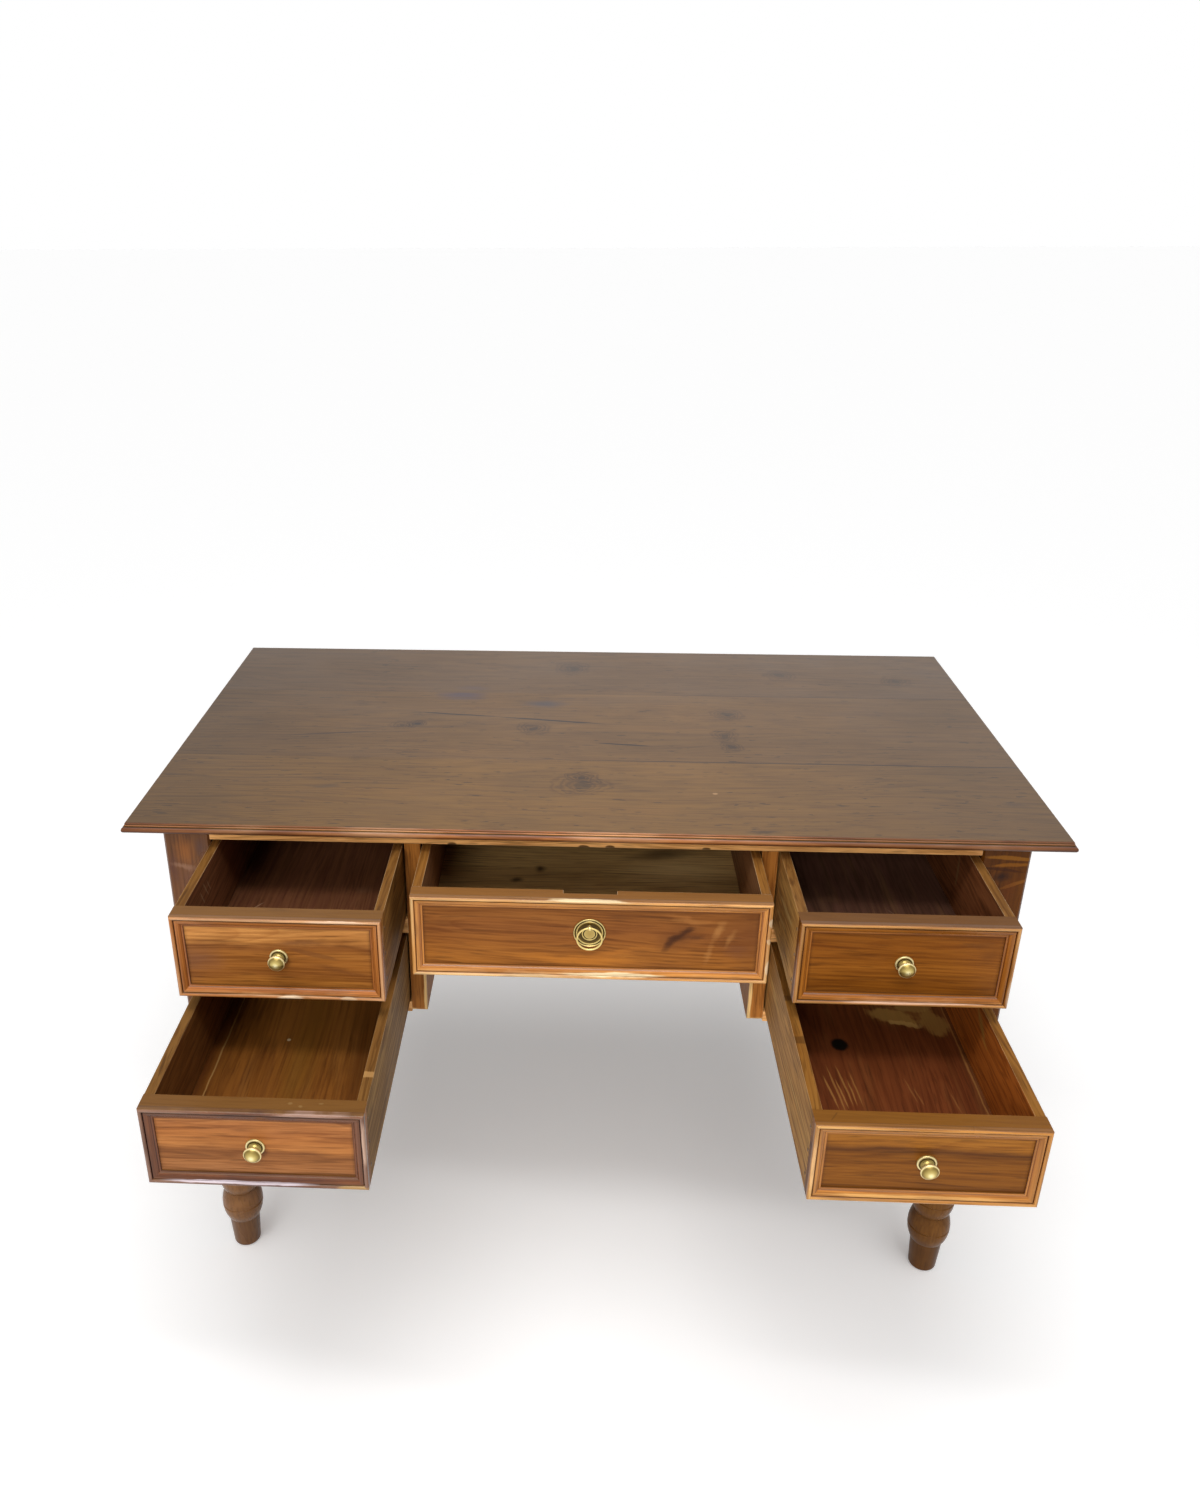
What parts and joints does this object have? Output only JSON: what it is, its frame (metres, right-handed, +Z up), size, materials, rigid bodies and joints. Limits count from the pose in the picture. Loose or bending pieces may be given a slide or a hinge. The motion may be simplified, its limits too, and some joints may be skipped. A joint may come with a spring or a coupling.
{
  "type": "writing desk",
  "caption": "Wooden writing desk with a thin moulded top, inset drawers on both sides of the knee space and one over it, bobbin-turned legs, brass knobs and a ring pull.",
  "frame": {"origin": "on the floor, midway between the four feet and under the middle of the top", "axes": "+X along the desk to the sitter's right, +Y from the drawer fronts to the back, +Z up"},
  "size_m": [1.212, 1.008, 0.78],
  "materials": {
    "top_wood": "satin waxed",
    "case_wood": "satin waxed",
    "leg_wood": "satin waxed",
    "front_wood": "satin waxed",
    "drawer_wood": "matt, worn",
    "inner_wood": "matt, bare",
    "brass": "aged polished"
  },
  "bodies": {
    "case": {"back_panel_centre": "inner_wood", "back_panel_left": "inner_wood", "back_panel_right": "inner_wood", "bottom_rail_left": "case_wood", "bottom_rail_right": "case_wood", "divider_left": "case_wood", "divider_right": "case_wood", "drawer_kickers": "inner_wood", "drawer_runners": "inner_wood", "leg_back_left": "leg_wood", "leg_back_right": "leg_wood", "leg_front_left": "leg_wood", "leg_front_right": "leg_wood", "mid_rail_centre": "case_wood", "mid_rail_left": "case_wood", "mid_rail_right": "case_wood", "side_panel_left": "case_wood", "side_panel_right": "case_wood", "top_board_back": "top_wood", "top_board_front": "top_wood", "top_board_middle": "top_wood", "top_rail": "case_wood"},
    "centre_drawer": {"centre_drawer_back": "drawer_wood", "centre_drawer_bottom": "drawer_wood", "centre_drawer_front": "front_wood", "centre_drawer_moulding": "front_wood", "centre_drawer_side_left": "drawer_wood", "centre_drawer_side_right": "drawer_wood", "pull_eye": "brass", "pull_plate": "brass"},
    "lower_left_drawer": {"lower_left_drawer_back": "drawer_wood", "lower_left_drawer_bottom": "drawer_wood", "lower_left_drawer_front": "front_wood", "lower_left_drawer_knob": "brass", "lower_left_drawer_moulding": "front_wood", "lower_left_drawer_side_left": "drawer_wood", "lower_left_drawer_side_right": "drawer_wood"},
    "lower_right_drawer": {"lower_right_drawer_back": "drawer_wood", "lower_right_drawer_bottom": "drawer_wood", "lower_right_drawer_front": "front_wood", "lower_right_drawer_knob": "brass", "lower_right_drawer_moulding": "front_wood", "lower_right_drawer_side_left": "drawer_wood", "lower_right_drawer_side_right": "drawer_wood"},
    "ring": {"pull_ring": "brass"},
    "upper_left_drawer": {"upper_left_drawer_back": "drawer_wood", "upper_left_drawer_bottom": "drawer_wood", "upper_left_drawer_front": "front_wood", "upper_left_drawer_knob": "brass", "upper_left_drawer_moulding": "front_wood", "upper_left_drawer_side_left": "drawer_wood", "upper_left_drawer_side_right": "drawer_wood"},
    "upper_right_drawer": {"upper_right_drawer_back": "drawer_wood", "upper_right_drawer_bottom": "drawer_wood", "upper_right_drawer_front": "front_wood", "upper_right_drawer_knob": "brass", "upper_right_drawer_moulding": "front_wood", "upper_right_drawer_side_left": "drawer_wood", "upper_right_drawer_side_right": "drawer_wood"}
  },
  "joints": [
    {"name": "upper_left_drawer_slide", "type": "slide", "parent": "case", "child": "upper_left_drawer", "axis": [0, -1, 0], "range_m": [-0.185, 0.245]},
    {"name": "upper_right_drawer_slide", "type": "slide", "parent": "case", "child": "upper_right_drawer", "axis": [0, -1, 0], "range_m": [-0.166, 0.264]},
    {"name": "lower_left_drawer_slide", "type": "slide", "parent": "case", "child": "lower_left_drawer", "axis": [0, -1, 0], "range_m": [-0.352, 0.078]},
    {"name": "lower_right_drawer_slide", "type": "slide", "parent": "case", "child": "lower_right_drawer", "axis": [0, -1, 0], "range_m": [-0.343, 0.087]},
    {"name": "centre_drawer_slide", "type": "slide", "parent": "case", "child": "centre_drawer", "axis": [0, -1, 0], "range_m": [-0.128, 0.302]},
    {"name": "ring_swing", "type": "hinge", "parent": "centre_drawer", "child": "ring", "pos_m": [0, -0.4346, 0.70315], "axis": [-1, 0, 0], "range_deg": [0, 170]}
  ]
}
